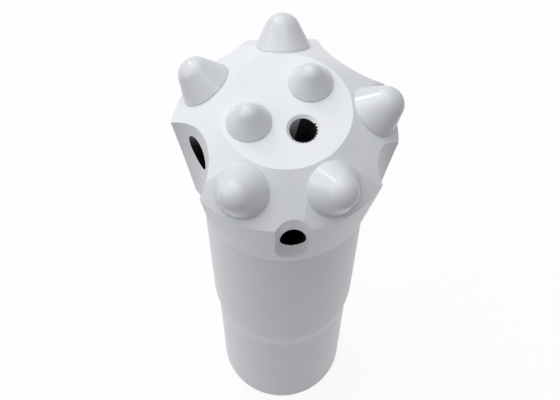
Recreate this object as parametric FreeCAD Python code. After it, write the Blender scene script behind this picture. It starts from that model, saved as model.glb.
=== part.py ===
import FreeCAD, Part
import math
import os

from FreeCAD import Vector

# Threaded button drill bit, in millimetres.
# The steel body stands on its skirt end. The origin is the centre of the socket's mouth,
# and +Z runs up the bit's axis to the cutting face. -Y is the front.
# Azimuths are degrees about +Z, counted from +X. Depths are counted down from the cutting face.

# Turned outside of the body
LENGTH = 152.0              # cutting face to skirt end
FACE_R = 14.7               # flat round cutting face
GAUGE_R = 25.6              # widest steel, at the top of the head's side
BEVEL_DEG = 35.0            # slope of the bevel between face and side
HEAD_H = 32.8               # cutting face to the ledge under the head
HEAD_BASE_R = 21.6          # the head's side tapers back to this
HEAD_EDGE_R = 0.6           # rounded lower edge of the head
UPPER_SKIRT_R = 20.0
LOWER_SKIRT_R = 19.0
STEP_DEPTH = 90.0           # where the upper skirt starts to narrow
STEP_H = 10.5               # height of the blend between the skirts
SKIRT_EDGE_R = 2.5          # rounded foot of the skirt

# Threaded socket and central flushing way
MOUTH_R = 14.9              # plain pilot bore at the mouth
MOUTH_L = 8.0
MOUTH_CHAMFER = 0.8
SOCKET_R = 14.3             # major radius of the socket's thread
SOCKET_L = 68.0             # mouth to the floor that the rod end seats on
CHANNEL_R = 5.0             # central flushing way above the socket
CHANNEL_TOP = 34.0          # depth of its upper end
DRILL_POINT_DEG = 118.0     # point angle left by every drill

# Gauge buttons: five round the rim, leaning outwards, each on a flat milled square to it
GAUGE_START = 302.0         # azimuth of the first gauge button
GAUGE_STEPS = (0.0, 65.0, 150.0, 211.3, 300.6)
GAUGE_LEAN = 40.4           # lean of a gauge button from +Z
GAUGE_SEAT_R = 19.85        # where the button's axis crosses its flat
GAUGE_SEAT_DEPTH = 4.45
GAUGE_BUTTON_R = 6.2
GAUGE_TIP_R = 4.1           # radius of the rounded tip
GAUGE_PROUD = 7.75          # height of the tip above the flat
GAUGE_SHANK = 8.0           # length pressed into the steel
COLLAR_H = 0.4              # how far a button's cylinder stands out before its cone starts
SHANK_CHAMFER = 0.5         # lead-in at the bottom of every button's shank

# Front buttons: two upright on the face, as (radius, azimuth)
FRONT_PLACES = ((8.5, 202.0), (8.9, 52.0))
FRONT_BUTTON_R = 5.0
FRONT_TIP_R = 2.7
FRONT_PROUD = 5.5
FRONT_SHANK = 6.0

# Flutes milled down the head between the gauge buttons, as
# (azimuth, radius of the deepest line near the bevel, cutter radius)
FLUTES = (
    (200.8, 18.4, 12.9),
    (50.5, 19.2, 13.5),
    (126.0, 22.3, 9.9),
    (340.0, 21.8, 7.8),
)
FLUTE_DEPTH = 3.0           # depth at which the deepest radius is given
FLUTE_LEAN = 3.1            # the deepest line leans out to meet the skirt at the ledge

# Front groove: a ball-ended cut along the side of the head, round the front side hole
GROOVE_AZ = 274.5
GROOVE_R = 4.7              # cutter radius
GROOVE_CUT = 2.35           # depth below the head's side
GROOVE_END = 25.0           # depth of the cutter's ball when it stops

# Flushing holes. Side holes are (azimuth, radius and depth of their mouths, rise).
HOLE_R = 2.95
SIDE_HOLES = (
    (275.0, 21.1, 20.0, 53.0),
    (191.0, 19.6, 13.0, 51.0),
    (50.5, 19.8, 14.0, 51.0),
)
FACE_HOLE_PLACE = (6.1, 309.2)
FACE_HOLE_LEAN = 9.0        # leans in to meet the central way
FACE_SINK_R = 3.7           # countersink at the face hole's mouth

MARGIN = 5.0                # how far a cutter starts outside the steel
CLEAR_RUN = 20.0            # longer run-out of a cutter that leaves the steel at a slant


def at(radius, azimuth, depth):
    """A point by radius, azimuth and depth below the cutting face."""
    angle = math.radians(azimuth)
    return Vector(radius * math.cos(angle), radius * math.sin(angle), LENGTH - depth)


def leaning(azimuth, lean):
    """The unit vector that leans from +Z by `lean` degrees towards `azimuth`."""
    tilt, turn = math.radians(lean), math.radians(azimuth)
    return Vector(math.sin(tilt) * math.cos(turn), math.sin(tilt) * math.sin(turn), math.cos(tilt))


def line(start, end):
    return Part.LineSegment(start, end).toShape()


def arc(start, middle, end):
    return Part.Arc(start, middle, end).toShape()


def turned(edges):
    """The solid swept by a closed chain of edges in the XZ plane about the Z axis."""
    face = Part.Face(Part.Wire(Part.sortEdges(edges)[0]))
    return face.revolve(Vector(), Vector(0, 0, 1), 360)


def corner(centre_r, centre_z, radius, start_deg, end_deg):
    """An arc of a rounded corner in the XZ plane, with its two end points."""
    points = []
    for degrees in (start_deg, (start_deg + end_deg) / 2, end_deg):
        angle = math.radians(degrees)
        points.append(Vector(centre_r + radius * math.cos(angle), 0, centre_z + radius * math.sin(angle)))
    return arc(*points), points[0], points[2]


def gauge_depth():
    """Depth of the rim where the bevel meets the head's side."""
    return (GAUGE_R - FACE_R) * math.tan(math.radians(BEVEL_DEG))


def side_taper():
    """Back taper of the head's side, in degrees from the axis."""
    return math.degrees(math.atan2(GAUGE_R - HEAD_BASE_R, HEAD_H - gauge_depth()))


def step_edges():
    """The S-shaped blend between the skirts: two equal tangent arcs."""
    top = Vector(UPPER_SKIRT_R, 0, LENGTH - STEP_DEPTH)
    low = Vector(LOWER_SKIRT_R, 0, LENGTH - STEP_DEPTH - STEP_H)
    mid = (top + low) * 0.5
    drop = UPPER_SKIRT_R - LOWER_SKIRT_R
    radius = (drop ** 2 + STEP_H ** 2) / (4 * drop)
    half = math.asin(STEP_H / 2 / radius) / 2
    sag = radius * (1 - math.cos(half))
    quarter = radius * math.sin(half)
    upper = Vector(UPPER_SKIRT_R - sag, 0, top.z - quarter)
    lower = Vector(LOWER_SKIRT_R + sag, 0, low.z + quarter)
    return [arc(top, upper, mid), arc(mid, lower, low)], top, low


def steel_blank():
    """The turned outside: face, bevel, back-tapered head, ledge and stepped skirt."""
    ledge_z = LENGTH - HEAD_H
    face_mid = Vector(0, 0, LENGTH)
    face_edge = Vector(FACE_R, 0, LENGTH)
    rim = Vector(GAUGE_R, 0, LENGTH - gauge_depth())
    head_edge, head_low, ledge_out = corner(
        HEAD_BASE_R - HEAD_EDGE_R, ledge_z + HEAD_EDGE_R, HEAD_EDGE_R, -side_taper(), -90)
    ledge_in = Vector(UPPER_SKIRT_R, 0, ledge_z)
    blend, step_top, step_low = step_edges()
    foot_edge, foot_top, foot_low = corner(
        LOWER_SKIRT_R - SKIRT_EDGE_R, SKIRT_EDGE_R, SKIRT_EDGE_R, 0, -90)
    return turned([
        line(face_mid, face_edge), line(face_edge, rim), line(rim, head_low), head_edge,
        line(ledge_out, ledge_in), line(ledge_in, step_top), *blend, line(step_low, foot_top),
        foot_edge, line(foot_low, Vector()), line(Vector(), face_mid),
    ])


def drilled(start, direction, radius, length):
    """A drilled hole: a cylinder from `start` that ends in the drill's point."""
    point_h = radius / math.tan(math.radians(DRILL_POINT_DEG / 2))
    barrel = Part.makeCylinder(radius, length, start, direction)
    tip_at = start + direction * length
    return barrel.fuse(Part.makeCone(radius, 0, point_h, tip_at, direction))


def socket():
    """Chamfered mouth, pilot bore and thread bore, with the central way above them."""
    up = Vector(0, 0, 1)
    chamfer = Part.makeCone(MOUTH_R + MOUTH_CHAMFER, MOUTH_R, MOUTH_CHAMFER, Vector(), up)
    pilot = Part.makeCylinder(MOUTH_R, MOUTH_L, Vector(), up)
    thread_bore = Part.makeCylinder(SOCKET_R, SOCKET_L, Vector(), up)
    way_start = SOCKET_L - MARGIN
    way = drilled(Vector(0, 0, way_start), up, CHANNEL_R, LENGTH - CHANNEL_TOP - way_start)
    return [chamfer, pilot, thread_bore, way]


def gauge_places():
    """Seat centre and outward axis of each gauge button."""
    azimuths = [GAUGE_START + step for step in GAUGE_STEPS]
    return [(at(GAUGE_SEAT_R, az, GAUGE_SEAT_DEPTH), leaning(az, GAUGE_LEAN)) for az in azimuths]


def front_places():
    """Seat centre and upward axis of each front button."""
    return [(at(radius, azimuth, 0), Vector(0, 0, 1)) for radius, azimuth in FRONT_PLACES]


def gauge_flat(seat, axis):
    """The waste above the flat that a gauge button stands on."""
    side = axis.cross(Vector(0, 0, 1)).normalize()
    across = side.cross(axis)
    reach = 2 * GAUGE_R
    corners = [seat + side * (a * reach) + across * (b * reach)
               for a, b in ((-1, -1), (1, -1), (1, 1), (-1, 1), (-1, -1))]
    return Part.Face(Part.makePolygon(corners)).extrude(axis * reach)


def flute(azimuth, deepest_r, cutter_r):
    """A cutter's path down the side of the head: a leaning cylinder."""
    axis = leaning(azimuth, -FLUTE_LEAN)
    centre = at(deepest_r + cutter_r, azimuth, FLUTE_DEPTH)
    bottom = centre - axis * HEAD_H
    return Part.makeCylinder(cutter_r, HEAD_H + CLEAR_RUN, bottom, axis)


def groove():
    """The ball-ended cutter's path up the side of the head, parallel to it."""
    axis = leaning(GROOVE_AZ, side_taper())
    outward = leaning(GROOVE_AZ, side_taper() + 90)
    side_r = GAUGE_R - (GROOVE_END - gauge_depth()) * math.tan(math.radians(side_taper()))
    ball = at(side_r, GROOVE_AZ, GROOVE_END) + outward * (GROOVE_R - GROOVE_CUT)
    path = Part.makeCylinder(GROOVE_R, HEAD_H, ball, axis)
    return path.fuse(Part.makeSphere(GROOVE_R, ball))


def side_hole(azimuth, mouth_r, mouth_depth, rise):
    """A flushing hole from the side of the head down to the central way."""
    outward = leaning(azimuth, 90 - rise)
    mouth = at(mouth_r, azimuth, mouth_depth)
    inner = mouth_r / math.cos(math.radians(rise))
    return Part.makeCylinder(HOLE_R, inner + CLEAR_RUN, mouth - outward * inner, outward)


def face_hole():
    """The flushing hole in the cutting face, with its countersink."""
    radius, azimuth = FACE_HOLE_PLACE
    mouth = at(radius, azimuth, 0)
    inward = leaning(azimuth, FACE_HOLE_LEAN) * -1
    start = mouth - inward * MARGIN
    sink_h = FACE_SINK_R - HOLE_R
    sink = Part.makeCone(HOLE_R, FACE_SINK_R, sink_h, mouth - Vector(0, 0, sink_h), Vector(0, 0, 1))
    return [Part.makeCylinder(HOLE_R, CHANNEL_TOP + CLEAR_RUN, start, inward), sink]


def button(seat, axis, radius, tip_r, proud, shank):
    """A carbide button: chamfered shank, collar, and a cone tangent to a rounded tip."""
    tip_z = proud - tip_r
    reach = math.hypot(radius, tip_z - COLLAR_H)
    rise = math.atan2(COLLAR_H - tip_z, radius) + math.acos(tip_r / reach)
    shoulder = Vector(radius, 0, COLLAR_H)
    shank_low = Vector(radius, 0, SHANK_CHAMFER - shank)
    chamfer_low = Vector(radius - SHANK_CHAMFER, 0, -shank)
    tangent = Vector(tip_r * math.cos(rise), 0, tip_z + tip_r * math.sin(rise))
    half = (rise + math.pi / 2) / 2
    on_tip = Vector(tip_r * math.cos(half), 0, tip_z + tip_r * math.sin(half))
    top, bottom = Vector(0, 0, proud), Vector(0, 0, -shank)
    solid = turned([
        arc(top, on_tip, tangent), line(tangent, shoulder), line(shoulder, shank_low),
        line(shank_low, chamfer_low), line(chamfer_low, bottom), line(bottom, top),
    ])
    solid.Placement = FreeCAD.Placement(seat, FreeCAD.Rotation(Vector(0, 0, 1), axis))
    return solid


def pocket(seat, axis, radius, shank):
    """The bore that a button is pressed into."""
    return Part.makeCylinder(radius, shank + MARGIN, seat - axis * shank, axis)


def bit_body():
    """The steel: turned, then milled, drilled and bored."""
    cutters = [gauge_flat(seat, axis) for seat, axis in gauge_places()]
    cutters += [flute(*row) for row in FLUTES] + [groove()]
    cutters += [side_hole(*row) for row in SIDE_HOLES] + face_hole() + socket()
    cutters += [pocket(seat, axis, GAUGE_BUTTON_R, GAUGE_SHANK) for seat, axis in gauge_places()]
    cutters += [pocket(seat, axis, FRONT_BUTTON_R, FRONT_SHANK) for seat, axis in front_places()]
    body = steel_blank()
    for cutter in cutters:
        body = body.cut(cutter)
    return body


def main():
    nodes = {"bit_body": bit_body()}
    for number, (seat, axis) in enumerate(gauge_places(), 1):
        nodes[f"gauge_button_{number}"] = button(
            seat, axis, GAUGE_BUTTON_R, GAUGE_TIP_R, GAUGE_PROUD, GAUGE_SHANK)
    for number, (seat, axis) in enumerate(front_places(), 1):
        nodes[f"front_button_{number}"] = button(
            seat, axis, FRONT_BUTTON_R, FRONT_TIP_R, FRONT_PROUD, FRONT_SHANK)
    os.makedirs("parts", exist_ok=True)
    for name, shape in nodes.items():
        solid = shape.Solids[0]
        print(name, "solids", len(shape.Solids), "valid", solid.isValid(),
              "volume cm3", round(solid.Volume / 1000, 3), "faces", len(solid.Faces))
        solid.exportStep(f"parts/{name}.step")
    box = nodes["bit_body"].optimalBoundingBox()
    print("steel", round(box.XLength, 2), round(box.YLength, 2), round(box.ZLength, 2))


main()
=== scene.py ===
# %% [markdown]
# # A painted button drill bit
# A rock drill's button bit is a steel body with hard carbide buttons pressed into its head. This one is
# painted white all over, buttons and all, so one coat lies over milled steel and polished carbide.
#
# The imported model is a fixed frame. It holds every piece at its real size and place, in metres, so the steps
# below only dress it: paint, bare bores, a thread, a camera, lamps and a floor.

# %% Load the frame
import math

import bpy
import numpy as np
from mathutils import Matrix, Vector


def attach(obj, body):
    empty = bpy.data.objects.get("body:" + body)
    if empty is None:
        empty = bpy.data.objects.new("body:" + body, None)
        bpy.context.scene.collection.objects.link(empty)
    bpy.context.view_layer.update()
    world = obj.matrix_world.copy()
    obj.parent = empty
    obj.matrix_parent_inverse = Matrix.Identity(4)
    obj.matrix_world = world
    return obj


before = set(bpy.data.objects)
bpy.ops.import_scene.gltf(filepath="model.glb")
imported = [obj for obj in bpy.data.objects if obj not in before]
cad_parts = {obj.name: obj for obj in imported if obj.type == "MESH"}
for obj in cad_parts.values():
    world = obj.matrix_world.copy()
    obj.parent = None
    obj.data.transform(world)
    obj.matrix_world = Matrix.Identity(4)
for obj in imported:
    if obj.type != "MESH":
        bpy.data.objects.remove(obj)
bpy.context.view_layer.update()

# %% [markdown]
# ## Measures
# A drill maker works in millimetres and Blender works in metres, so lengths are named in millimetres and one
# factor turns them to metres. Only the sizes that the looks need are repeated here.

# %% Measures
MM = 0.001
LENGTH = 152.0          # skirt end to cutting face
FACE = Vector((0.0, 0.0, LENGTH * MM))
print("cutting face at", FACE)

# %% [markdown]
# ## Colours
# Colours are written as sRGB hex, the way a paint card gives them. Blender's sockets want linear light,
# so one function turns each hex value into linear red, green, blue and alpha.

# %% Colour helper
def linear(hex_colour):
    """sRGB hex to linear RGBA: each channel c is c/12.92 below 0.04045, else ((c + 0.055)/1.055)^2.4."""
    channels = [int(hex_colour[i:i + 2], 16) / 255 for i in (1, 3, 5)]
    return tuple(c / 12.92 if c <= 0.04045 else ((c + 0.055) / 1.055) ** 2.4 for c in channels) + (1.0,)


WHITE = linear("#FFFFFF")
print("middle grey in linear light:", round(linear("#808080")[0], 3))

# %% [markdown]
# ## Node helper
# Every material is a small graph of nodes. One function adds a node, sets its properties and sockets, and
# links what feeds it, so that each material below reads as a list of steps. Some nodes have several sockets
# of one name, such as the two colours of a mix, and those are given by number instead.

# %% Node helper
def add(tree, kind, settings=None, **sockets):
    """Adds a node. `settings` are its properties. Each socket, by name or as i0, i1 and so on for its
    number, gets a value, or a link if it is given another node's output."""
    node = tree.nodes.new(kind)
    for name, value in (settings or {}).items():
        setattr(node, name, value)
    for name, value in sockets.items():
        numbered = name[0] == "i" and name[1:].isdigit()
        socket = node.inputs[int(name[1:]) if numbered else name]
        if isinstance(value, bpy.types.NodeSocket):
            tree.links.new(value, socket)
        else:
            socket.default_value = value
    return node


def new_material(name):
    """An empty node material and its tree."""
    material = bpy.data.materials.new(name)
    material.use_nodes = True
    material.node_tree.nodes.clear()
    return material, material.node_tree


# %% [markdown]
# ## A mottled, rippled surface
# Paint and drilled steel are both one material with two things laid over it: a slow drift of tone, and a
# fine ripple that breaks up reflections. Image textures could carry them, but noise worked out at each point
# in the object's own space has no seam and can be given a real size in millimetres.

# %% Surface
def surface(name, tones, tone_mm, tone_detail, ripple_mm, ripple_detail, ripple_height_mm, **shader):
    """A Principled surface whose colour drifts between two hex tones, with a bumped ripple over it."""
    material, tree = new_material(name)
    place = add(tree, "ShaderNodeTexCoord").outputs["Object"]
    drift = add(tree, "ShaderNodeTexNoise", Vector=place, Scale=1 / (tone_mm * MM), Detail=tone_detail)
    light, shade = (linear(tone) for tone in tones)
    colour = add(tree, "ShaderNodeMix", {"data_type": "RGBA"}, i0=drift.outputs["Fac"], i6=light, i7=shade)
    ripple = add(tree, "ShaderNodeTexNoise", Vector=place, Scale=1 / (ripple_mm * MM), Detail=ripple_detail)
    bump = add(tree, "ShaderNodeBump", Height=ripple.outputs["Fac"], Strength=1.0,
               Distance=ripple_height_mm * MM)
    body = add(tree, "ShaderNodeBsdfPrincipled", Normal=bump.outputs["Normal"], **shader)
    tree.links.new(colour.outputs[2], body.inputs["Base Color"])
    add(tree, "ShaderNodeOutputMaterial", Surface=body.outputs["BSDF"])
    return material


# %% [markdown]
# ## The paint
# The real finish is an enamel, a hard, glossy paint, here in a cool white. Enamel levels as it dries but
# keeps a faint ripple called orange peel, a millimetre or two from crest to crest, which gives the eye a
# satin sheen on the milled body. The buttons were polished before they were painted, so the same coat lies
# smoother on them and looks glossier. Their paint is made a shade greyer than the body's: painted shade,
# standing in for the darker shading on the buttons' flanks.

# %% Enamel
ENAMEL_IOR = 1.5        # a paint's resin
CLOUD_MM = 14.0         # drift of tone across the coat
PEEL_MM = 1.6           # crest to crest of the orange peel
COAT = {"tone_mm": CLOUD_MM, "tone_detail": 3.0, "ripple_mm": PEEL_MM, "ripple_detail": 1.0}

body_paint = surface("satin_enamel_on_milled_steel", ("#E9EBEF", "#DEE1E7"), ripple_height_mm=0.004,
                     Roughness=0.32, IOR=ENAMEL_IOR, **COAT)
# The buttons' tones are a greyer copy of the body's white, used as painted shade for their darker flanks.
button_paint_greyed_as_shade = surface("gloss_enamel_greyed_as_painted_shade", ("#DEE0E5", "#D2D5DB"), ripple_height_mm=0.002,
                       Roughness=0.16, IOR=ENAMEL_IOR, **COAT)

for name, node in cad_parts.items():
    finish = body_paint if name == "bit_body" else button_paint_greyed_as_shade
    for slot in node.material_slots:
        slot.material = finish
print("painted", len(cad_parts), "pieces")

# %% [markdown]
# ## Drilled steel, darkened as painted shade
# Little paint gets into a deep hole, so the flushing holes and the socket stay drilled steel: dull and
# grainy from the drill. It is given a near-black tone, darker than bare steel, which is painted shade for the
# dark depth of the bores. It is mostly a dark coat over metal, so it is only partly metallic.

# %% Drilled steel, darkened as painted shade
GRAIN_MM = 0.8          # coarser than real drill marks, so that they show
# Near-black tones: bare steel darkened to paint the shade inside the bores.
bore_steel_and_shade = surface("bare_steel_darkened_as_shade", ("#101012", "#2C2C2E"), tone_mm=GRAIN_MM, tone_detail=2.0,
                     ripple_mm=GRAIN_MM, ripple_detail=2.0, ripple_height_mm=0.01,
                     Roughness=0.55, Metallic=0.3)
print("made", bore_steel_and_shade.name)

# %% [markdown]
# ## Bare, shaded bores
# The holes could be separate dark sleeves, but they are part of one steel body. So the body keeps its mesh,
# and each of its small faces that lies on a bore's wall is given the near-black drilled steel, bare steel
# and painted shade in one, instead of the paint.
# A face lies on a wall when its middle is one bore radius from the bore's axis.

# %% Where the bores are
HOLE_R = 2.95           # every flushing hole
HOLES = (               # azimuth, radius and depth of a hole's mouth, and its rise from level
    (275.0, 21.1, 20.0, 53.0),
    (191.0, 19.6, 13.0, 51.0),
    (50.5, 19.8, 14.0, 51.0),
    (309.2, 6.1, 0.9, 81.0),
)
WALL_GAP = 0.12         # a face this near to a hole's radius lies on its wall
SOCKET_R = 14.95        # everything nearer to the axis than this, under the head, is socket
WAY_TOP = 118.0         # upper end of the central way
SKIRT_END = 0.001       # the skirt's flat end, which the socket's faces are above


def on_a_bore(middles):
    """True for face middles on the wall of a side or face hole, the central way or the socket."""
    from_axis, height = np.hypot(middles[:, 0], middles[:, 1]), middles[:, 2]
    bare_and_shaded = (from_axis < SOCKET_R) & (height < WAY_TOP) & (height > SKIRT_END)
    for azimuth, mouth_r, depth, rise in HOLES:
        turn, up = math.radians(azimuth), math.radians(rise)
        mouth = np.array([mouth_r * math.cos(turn), mouth_r * math.sin(turn), LENGTH - depth])
        axis = np.array([math.cos(up) * math.cos(turn), math.cos(up) * math.sin(turn), math.sin(up)])
        along = (middles - mouth) @ axis
        away = np.linalg.norm(middles - mouth - along[:, None] * axis, axis=1)
        bare_and_shaded |= (np.abs(away - HOLE_R) < WALL_GAP) & (along < HOLE_R)
    return bare_and_shaded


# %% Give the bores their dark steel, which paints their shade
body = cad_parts["bit_body"].data
middles = np.empty(len(body.polygons) * 3)
body.polygons.foreach_get("center", middles)
bare_and_shaded = on_a_bore(middles.reshape(-1, 3) / MM)
# The bore faces get the near-black steel, which paints the shade deep in the holes.
body.materials.append(bore_steel_and_shade)
body.polygons.foreach_set("material_index", bare_and_shaded.astype(np.int32))
print("bare faces", int(bare_and_shaded.sum()), "of", len(body.polygons))

# %% [markdown]
# ## Rope thread
# The socket screws onto a drill rod with a rope thread: a coarse round wave that comes apart easily after
# thousands of blows. A helix swept by a profile would have ends to close, so the thread is a sleeve instead:
# its inner wall is a formula over angle and height, fading out at both ends, and its outer wall is round.

# %% Rope thread
THREAD_R = 14.28        # the sleeve's outer wall, just inside the bore
THREAD_WALL = 0.02      # the sleeve's thickness at the thread's root
THREAD_DEPTH = 1.3
THREAD_PITCH = 8.0
THREAD_LOW, THREAD_HIGH = 9.0, 66.0     # height above the skirt end
THREAD_FADE = 4.0       # run-out at each end
AROUND, ROWS = 96, 120  # points round the sleeve and up each wall


def rope_thread():
    """Points and faces of a closed sleeve. The outer wall's radius is R. The inner wall's radius is
    R - wall - depth * fade * (1 + cos(2 pi height/pitch - angle)) / 2, and fade falls to 0 at each end."""
    angle = np.arange(AROUND) * 2 * math.pi / AROUND
    height = np.linspace(THREAD_LOW, THREAD_HIGH, ROWS)
    turn, level = np.meshgrid(angle, height)
    fade = np.clip(np.minimum(level - THREAD_LOW, THREAD_HIGH - level) / THREAD_FADE, 0, 1)
    wave = (1 + np.cos(2 * math.pi * level / THREAD_PITCH - turn)) / 2
    inner = THREAD_R - THREAD_WALL - THREAD_DEPTH * fade * wave
    radius = np.concatenate([inner, np.full_like(inner, THREAD_R)])
    level = np.concatenate([level, level[::-1]])
    points = np.stack([radius * np.cos(angle), radius * np.sin(angle), level], axis=-1).reshape(-1, 3)
    ring, step = np.meshgrid(np.arange(2 * ROWS), np.arange(AROUND), indexing="ij")
    low, high = ring * AROUND, (ring + 1) % (2 * ROWS) * AROUND
    following = (step + 1) % AROUND
    faces = np.stack([low + step, high + step, high + following, low + following], axis=-1)
    return points * MM, faces.reshape(-1, 4)


# %% Place the thread
thread_points, thread_faces = rope_thread()
thread_mesh = bpy.data.meshes.new("socket_rope_thread")
thread_mesh.from_pydata(thread_points.tolist(), [], thread_faces.tolist())
thread_mesh.polygons.foreach_set("use_smooth", [True] * len(thread_faces))
thread_mesh.materials.append(bore_steel_and_shade)
thread = bpy.data.objects.new("socket_rope_thread", thread_mesh)
bpy.context.scene.collection.objects.link(thread)
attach(thread, "root")
print("thread faces", len(thread_faces))

# %% [markdown]
# ## Camera
# The bit is seen from steeply above its face, so that the head is large and the skirt shrinks away below it.
# A short telephoto keeps that from looking like a funnel, and a half-degree roll keeps the bit a touch askew.

# %% Camera
CAMERA_AT = Vector((-0.99, -122.12, 349.66))    # mm
LOOK_DOWN_DEG = 63.11
ROLL_DEG = 0.54
LENS_MM, SENSOR_MM = 68.7, 36.0
NEAR, FAR = 0.01, 10.0  # m

camera_data = bpy.data.cameras.new("camera")
camera_data.lens, camera_data.sensor_width = LENS_MM, SENSOR_MM
camera_data.clip_start, camera_data.clip_end = NEAR, FAR
camera = bpy.data.objects.new("camera", camera_data)
bpy.context.scene.collection.objects.link(camera)
tilt = Matrix.Rotation(math.radians(90 - LOOK_DOWN_DEG), 4, "X")
roll = Matrix.Rotation(math.radians(ROLL_DEG), 4, "Z")
camera.matrix_basis = Matrix.Translation(CAMERA_AT * MM) @ tilt @ roll
bpy.context.scene.camera = camera
print("camera at", camera.location)

# %% [markdown]
# ## Lamps
# A painted bit is lit with wide soft boxes, because a small lamp would throw hard button shadows on the face.
# One stands behind, one to the left and one overhead. A small lamp behind and to the left adds the bright
# spot on each glossy button. Brightness is given as that of a white card facing the lamp, which is easier to
# judge than watts: a square lamp of P watts at distance d gives such a card P / (pi d)^2.

# %% Lamps
SOFT_BOXES = (          # name, direction from the face, brightness of a white card facing it
    ("back_box", (-0.32, 0.56, 0.77), 0.38),
    ("left_box", (-0.80, -0.05, 0.60), 0.30),
    ("top_box", (0.03, 0.0, 1.0), 0.3),
)
BOX_DISTANCE, BOX_SIZE = 0.9, 0.8       # m
SPARK_FROM, SPARK_LEVEL = (-0.50, 0.70, 0.51), 0.1
SPARK_DISTANCE, SPARK_SIZE = 0.8, 0.09  # m


def aimed_lamp(name, direction, level, distance, size):
    """A square area lamp aimed at the cutting face. A white card facing it gets `level`."""
    lamp = bpy.data.lights.new(name, "AREA")
    lamp.size = size
    lamp.energy = level * (math.pi * distance) ** 2
    stand = bpy.data.objects.new(name, lamp)
    bpy.context.scene.collection.objects.link(stand)
    towards = Vector(direction).normalized()
    stand.location = FACE + towards * distance
    stand.rotation_mode = "QUATERNION"
    stand.rotation_quaternion = towards.to_track_quat("Z", "Y")
    print(name, "at", round(lamp.energy, 2), "W")


for soft_box in SOFT_BOXES:
    aimed_lamp(*soft_box, BOX_DISTANCE, BOX_SIZE)
aimed_lamp("spark", SPARK_FROM, SPARK_LEVEL, SPARK_DISTANCE, SPARK_SIZE)

# %% [markdown]
# ## Sky
# A white room fills the shadows. Light Path tells rays that look at the room from rays that carry its light,
# so the room can look white in the picture and in reflections, while it lights the bit only gently.

# %% Sky
SKY_LEVEL = 0.3


def seen_directly(tree):
    """1 for rays from the camera, a glossy surface or a clear one; 0 for the rays that light things."""
    path = add(tree, "ShaderNodeLightPath")
    either = add(tree, "ShaderNodeMath", {"operation": "MAXIMUM"}, i0=path.outputs["Is Camera Ray"],
                 i1=path.outputs["Is Glossy Ray"])
    return add(tree, "ShaderNodeMath", {"operation": "MAXIMUM"}, i0=either.outputs[0],
               i1=path.outputs["Is Transmission Ray"]).outputs[0]


world = bpy.data.worlds.new("world")
bpy.context.scene.world = world
world.use_nodes = True
sky = world.node_tree
sky.nodes.clear()
lit = add(sky, "ShaderNodeBackground", Color=WHITE, Strength=SKY_LEVEL)
shown = add(sky, "ShaderNodeBackground", Color=WHITE, Strength=1.0)
either_sky = add(sky, "ShaderNodeMixShader", i0=seen_directly(sky), i1=lit.outputs[0], i2=shown.outputs[0])
add(sky, "ShaderNodeOutputWorld", Surface=either_sky.outputs[0])
print("sky level", SKY_LEVEL)

# %% [markdown]
# ## Floor
# The bit stands on a sheet of white paper. Looked at, it is nearly all glow, with a small share of real white
# paper that keeps the bit's shadow. The light that it throws back is that of a grey card, so that the
# skirt keeps its form.

# %% Floor
FLOOR_TONE = linear("#AEB0B4")
SHADOW_SHARE = 0.1
FLOOR_HALF = 3.0        # m

floor_paper, tree = new_material("paper_floor")
grey = add(tree, "ShaderNodeBsdfDiffuse", Color=FLOOR_TONE)
white = add(tree, "ShaderNodeBsdfDiffuse", Color=WHITE)
glow = add(tree, "ShaderNodeEmission", Color=WHITE, Strength=1.0)
seen = add(tree, "ShaderNodeMixShader", i0=SHADOW_SHARE, i1=glow.outputs[0], i2=white.outputs[0])
paper = add(tree, "ShaderNodeMixShader", i0=seen_directly(tree), i1=grey.outputs[0], i2=seen.outputs[0])
add(tree, "ShaderNodeOutputMaterial", Surface=paper.outputs[0])

floor_mesh = bpy.data.meshes.new("floor")
corners = np.array([(-1, -1, 0), (1, -1, 0), (1, 1, 0), (-1, 1, 0)]) * FLOOR_HALF
floor_mesh.from_pydata(corners.tolist(), [], [(0, 1, 2, 3)])
floor_mesh.materials.append(floor_paper)
floor = bpy.data.objects.new("floor", floor_mesh)
bpy.context.scene.collection.objects.link(floor)
print("floor", 2 * FLOOR_HALF, "m wide")

# %% [markdown]
# ## Picture settings
# The Standard view shows each colour as it is written. A filmic view would grey the white paint.

# %% Picture settings
bpy.context.scene.view_settings.view_transform = "Standard"
print("view transform", bpy.context.scene.view_settings.view_transform)
